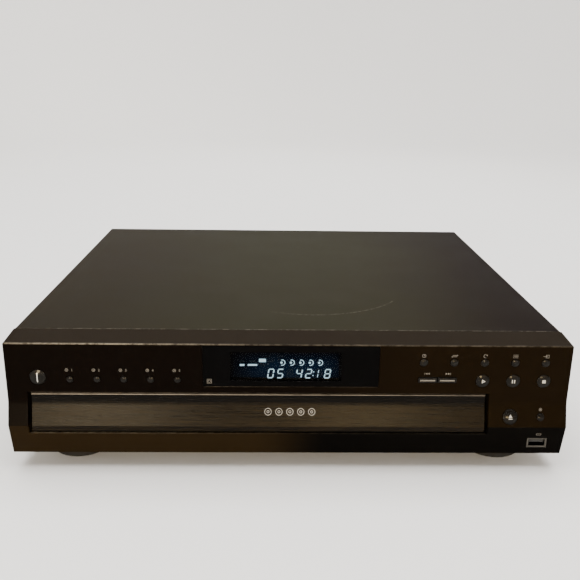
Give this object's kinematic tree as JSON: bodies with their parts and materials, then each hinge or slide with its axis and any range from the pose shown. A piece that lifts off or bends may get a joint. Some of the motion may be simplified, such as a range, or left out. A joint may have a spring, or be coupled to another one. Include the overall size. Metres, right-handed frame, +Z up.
{
  "type": "compact disc changer",
  "caption": "Low black hi-fi component with a flared front, a wide sliding drawer that carries a turning disc carousel, a display window, round keys and a socket.",
  "frame": {"origin": "under the middle of the bounding box, on the surface that the feet stand on", "axes": "+X to the right of someone facing the front, +Y to the back, +Z up; the front faces -Y"},
  "size_m": [0.43, 0.3974, 0.1085],
  "materials": {
    "front_plastic": "satin moulded plastic",
    "window": "polished smoked acrylic",
    "tube_glass": "dark display glass",
    "plated_steel": "zinc-plated sheet",
    "plated_metal": "bright plating",
    "black_plastic": "matt moulding",
    "cover_paint": "fine matt black paint",
    "black_steel": "black oxide",
    "foot_rubber": "matt",
    "socket_plastic": "coloured insulator",
    "core_steel": "varnished laminations",
    "coil_tape": "winding tape",
    "board": "paper board",
    "frame_plastic": "matt moulding",
    "gear_plastic": "natural acetal",
    "belt_rubber": "square belt",
    "tray_plastic": "fine texture",
    "key_plastic": "polished"
  },
  "bodies": {
    "cabinet": {"front_panel": "front_plastic", "display_window": "window", "panel_boards": "board", "key_switches": "black_plastic", "display_tube": "tube_glass", "usb_socket_shell": "plated_steel", "usb_tongue": "black_plastic", "top_cover": "cover_paint", "cover_screws": "black_steel", "chassis": "plated_steel", "back_panel": "cover_paint", "feet": "foot_rubber", "line_out_block": "black_plastic", "line_out_shells": "plated_metal", "line_out_insulators": "socket_plastic", "optical_socket": "black_plastic", "cord_gland": "black_plastic", "transformer_core": "core_steel", "transformer_coil": "coil_tape", "main_board": "board", "loader_frame": "frame_plastic", "loading_motor": "plated_steel", "drive_belt": "belt_rubber", "chucking_bracket": "plated_steel"},
    "drawer": {"disc_tray": "tray_plastic", "tray_front": "front_plastic", "carousel_motor": "plated_steel"},
    "carousel": {"carousel": "tray_plastic"},
    "carousel_drive": {"carousel_drive_gear": "gear_plastic"},
    "carousel_pinion": {"carousel_motor_pinion": "gear_plastic"},
    "tray_gear": {"tray_gear": "gear_plastic"},
    "drive_pulley": {"drive_pulley": "gear_plastic"},
    "motor_pulley": {"motor_pulley": "gear_plastic"},
    "pickup_unit": {"pickup_frame": "frame_plastic", "spindle_motor": "plated_steel", "guide_rods": "plated_metal", "sled_motor": "plated_steel"},
    "hub": {"spindle_hub": "gear_plastic"},
    "sled": {"pickup_sled": "frame_plastic"},
    "sled_gear": {"sled_gear": "gear_plastic"},
    "disc_clamp": {"chucking_pulley": "gear_plastic"},
    "optical_shutter": {"optical_shutter": "black_plastic"},
    "power_button": {"power_button": "key_plastic"},
    "disc_1_button": {"disc_1_button": "key_plastic"},
    "disc_2_button": {"disc_2_button": "key_plastic"},
    "disc_3_button": {"disc_3_button": "key_plastic"},
    "disc_4_button": {"disc_4_button": "key_plastic"},
    "disc_5_button": {"disc_5_button": "key_plastic"},
    "time_button": {"time_button": "key_plastic"},
    "mode_button": {"mode_button": "key_plastic"},
    "repeat_button": {"repeat_button": "key_plastic"},
    "edit_button": {"edit_button": "key_plastic"},
    "source_button": {"source_button": "key_plastic"},
    "play_button": {"play_button": "key_plastic"},
    "pause_button": {"pause_button": "key_plastic"},
    "stop_button": {"stop_button": "key_plastic"},
    "open_close_button": {"open_close_button": "key_plastic"},
    "record_button": {"record_button": "key_plastic"},
    "skip_back_button": {"skip_back_button": "key_plastic"},
    "skip_forward_button": {"skip_forward_button": "key_plastic"}
  },
  "joints": [
    {"name": "tray_slide", "type": "slide", "parent": "cabinet", "child": "drawer", "axis": [0, -1, 0], "range_m": [0, 0.21]},
    {"name": "carousel_spin", "type": "hinge", "parent": "drawer", "child": "carousel", "pos_m": [-0.023, -0.018, 0.056], "axis": [0, 0, 1], "continuous": true},
    {"name": "carousel_drive_spin", "type": "hinge", "parent": "drawer", "child": "carousel_drive", "pos_m": [-0.10193, -0.04673, 0.048], "axis": [0, 0, 1], "continuous": true},
    {"name": "carousel_pinion_spin", "type": "hinge", "parent": "drawer", "child": "carousel_pinion", "pos_m": [-0.12743, -0.04673, 0.048], "axis": [0, 0, 1], "continuous": true},
    {"name": "tray_gear_spin", "type": "hinge", "parent": "cabinet", "child": "tray_gear", "pos_m": [0.074, -0.138, 0.03], "axis": [0, 0, 1], "range_deg": [-1, 1205]},
    {"name": "drive_pulley_spin", "type": "hinge", "parent": "cabinet", "child": "drive_pulley", "pos_m": [0.10175, -0.138, 0.03], "axis": [0, 0, 1], "range_deg": [-3745, 1]},
    {"name": "motor_pulley_spin", "type": "hinge", "parent": "cabinet", "child": "motor_pulley", "pos_m": [0.13625, -0.138, 0.03], "axis": [0, 0, 1], "range_deg": [-11304, 1]},
    {"name": "pickup_lift", "type": "hinge", "parent": "cabinet", "child": "pickup_unit", "pos_m": [-0.023, 0.168, 0.044], "axis": [-1, 0, 0], "range_deg": [0, 8]},
    {"name": "hub_spin", "type": "hinge", "parent": "pickup_unit", "child": "hub", "pos_m": [-0.023, 0.0868, 0.03259], "axis": [0, -0.1392, 0.9903], "continuous": true},
    {"name": "sled_slide", "type": "slide", "parent": "pickup_unit", "child": "sled", "axis": [0, 0.9903, 0.1392], "range_m": [0, 0.0335]},
    {"name": "sled_gear_spin", "type": "hinge", "parent": "pickup_unit", "child": "sled_gear", "pos_m": [0.0084, 0.11651, 0.03676], "axis": [0, -0.1392, 0.9903], "range_deg": [-356, 1]},
    {"name": "clamp_spin", "type": "hinge", "parent": "cabinet", "child": "disc_clamp", "pos_m": [-0.023, 0.086, 0.064], "axis": [0, 0, 1], "continuous": true},
    {"name": "shutter_swing", "type": "hinge", "parent": "cabinet", "child": "optical_shutter", "pos_m": [0.096, 0.1885, 0.0695], "axis": [-1, 0, 0], "range_deg": [0, 80], "stiffness_Nm_per_rad": 0.00003, "springref_deg": -28.65},
    {"name": "power_press", "type": "slide", "parent": "cabinet", "child": "power_button", "axis": [0, 1, 0], "range_m": [0, 0.0008], "stiffness_N_per_m": 400, "springref_m": -0.0008},
    {"name": "disc_1_press", "type": "slide", "parent": "cabinet", "child": "disc_1_button", "axis": [0, 1, 0], "range_m": [0, 0.0008], "stiffness_N_per_m": 400, "springref_m": -0.0008},
    {"name": "disc_2_press", "type": "slide", "parent": "cabinet", "child": "disc_2_button", "axis": [0, 1, 0], "range_m": [0, 0.0008], "stiffness_N_per_m": 400, "springref_m": -0.0008},
    {"name": "disc_3_press", "type": "slide", "parent": "cabinet", "child": "disc_3_button", "axis": [0, 1, 0], "range_m": [0, 0.0008], "stiffness_N_per_m": 400, "springref_m": -0.0008},
    {"name": "disc_4_press", "type": "slide", "parent": "cabinet", "child": "disc_4_button", "axis": [0, 1, 0], "range_m": [0, 0.0008], "stiffness_N_per_m": 400, "springref_m": -0.0008},
    {"name": "disc_5_press", "type": "slide", "parent": "cabinet", "child": "disc_5_button", "axis": [0, 1, 0], "range_m": [0, 0.0008], "stiffness_N_per_m": 400, "springref_m": -0.0008},
    {"name": "time_press", "type": "slide", "parent": "cabinet", "child": "time_button", "axis": [0, 1, 0], "range_m": [0, 0.0008], "stiffness_N_per_m": 400, "springref_m": -0.0008},
    {"name": "mode_press", "type": "slide", "parent": "cabinet", "child": "mode_button", "axis": [0, 1, 0], "range_m": [0, 0.0008], "stiffness_N_per_m": 400, "springref_m": -0.0008},
    {"name": "repeat_press", "type": "slide", "parent": "cabinet", "child": "repeat_button", "axis": [0, 1, 0], "range_m": [0, 0.0008], "stiffness_N_per_m": 400, "springref_m": -0.0008},
    {"name": "edit_press", "type": "slide", "parent": "cabinet", "child": "edit_button", "axis": [0, 1, 0], "range_m": [0, 0.0008], "stiffness_N_per_m": 400, "springref_m": -0.0008},
    {"name": "source_press", "type": "slide", "parent": "cabinet", "child": "source_button", "axis": [0, 1, 0], "range_m": [0, 0.0008], "stiffness_N_per_m": 400, "springref_m": -0.0008},
    {"name": "play_press", "type": "slide", "parent": "cabinet", "child": "play_button", "axis": [0, 1, 0], "range_m": [0, 0.0008], "stiffness_N_per_m": 400, "springref_m": -0.0008},
    {"name": "pause_press", "type": "slide", "parent": "cabinet", "child": "pause_button", "axis": [0, 1, 0], "range_m": [0, 0.0008], "stiffness_N_per_m": 400, "springref_m": -0.0008},
    {"name": "stop_press", "type": "slide", "parent": "cabinet", "child": "stop_button", "axis": [0, 1, 0], "range_m": [0, 0.0008], "stiffness_N_per_m": 400, "springref_m": -0.0008},
    {"name": "open_close_press", "type": "slide", "parent": "cabinet", "child": "open_close_button", "axis": [0, 1, 0], "range_m": [0, 0.0008], "stiffness_N_per_m": 400, "springref_m": -0.0008},
    {"name": "record_press", "type": "slide", "parent": "cabinet", "child": "record_button", "axis": [0, 1, 0], "range_m": [0, 0.0008], "stiffness_N_per_m": 400, "springref_m": -0.0008},
    {"name": "skip_back_press", "type": "slide", "parent": "cabinet", "child": "skip_back_button", "axis": [0, 1, 0], "range_m": [0, 0.0008], "stiffness_N_per_m": 400, "springref_m": -0.0008},
    {"name": "skip_forward_press", "type": "slide", "parent": "cabinet", "child": "skip_forward_button", "axis": [0, 1, 0], "range_m": [0, 0.0008], "stiffness_N_per_m": 400, "springref_m": -0.0008}
  ],
  "couplings": [
    {"joint": "tray_gear_spin", "follows": "tray_slide", "rad_per_m": 100},
    {"joint": "drive_pulley_spin", "follows": "tray_slide", "rad_per_m": -311.11},
    {"joint": "motor_pulley_spin", "follows": "tray_slide", "rad_per_m": -939.32},
    {"joint": "carousel_drive_spin", "follows": "carousel_spin", "ratio": -6},
    {"joint": "carousel_pinion_spin", "follows": "carousel_spin", "ratio": 19.5},
    {"joint": "sled_gear_spin", "follows": "sled_slide", "rad_per_m": -185.19}
  ]
}
